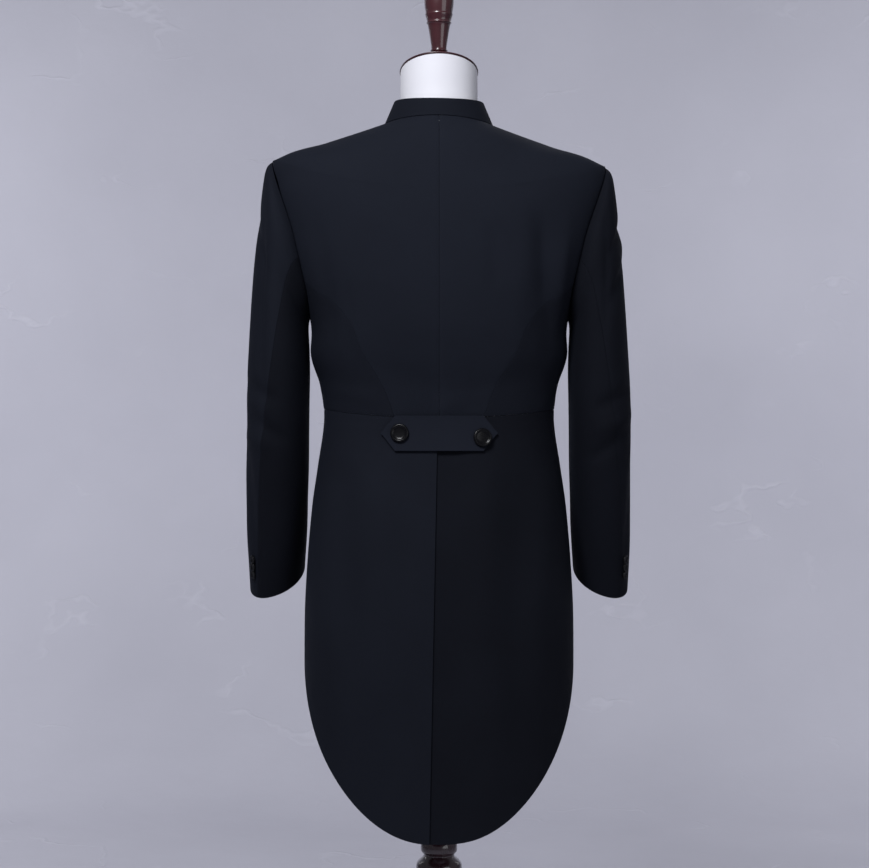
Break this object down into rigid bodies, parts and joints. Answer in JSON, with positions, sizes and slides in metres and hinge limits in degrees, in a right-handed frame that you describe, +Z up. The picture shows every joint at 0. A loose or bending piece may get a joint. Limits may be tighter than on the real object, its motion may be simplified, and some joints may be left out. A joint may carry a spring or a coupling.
{
  "type": "tailcoat suit on a dress form",
  "caption": "Dark wool tailcoat with stand collar, half belt and rounded tails, hung on a white limbless dress form with a turned pole and round base.",
  "frame": {"origin": "on the floor, under the middle of the round base", "axes": "+Z up; the coat's back faces -Y; +X is the wearer's right"},
  "size_m": [0.5324, 0.38, 1.689],
  "materials": {
    "wool": "fine twill wool, soft nap",
    "button": "polished black with a raised rim",
    "form_cover": "smooth stretched white cover",
    "finial_wood": "glossy mahogany lacquer",
    "pole_wood": "glossy dark lacquer"
  },
  "bodies": {
    "root": {"back_left": "wool", "side_left": "wool", "front_left": "wool", "tail_left": "wool", "top_sleeve_left": "wool", "under_sleeve_left": "wool", "back_right": "wool", "side_right": "wool", "front_right": "wool", "tail_right": "wool", "top_sleeve_right": "wool", "under_sleeve_right": "wool", "collar": "wool", "half_belt": "wool", "belt_button_left": "button", "belt_button_right": "button", "cuff_button_left_1": "button", "cuff_button_left_2": "button", "cuff_button_left_3": "button", "cuff_button_right_1": "button", "cuff_button_right_2": "button", "cuff_button_right_3": "button", "front_button_1": "button", "front_button_2": "button", "front_button_3": "button", "front_button_4": "button", "form_torso": "form_cover", "neck_finial": "finial_wood", "stand_pole": "pole_wood", "stand_base": "pole_wood"}
  },
  "joints": []
}
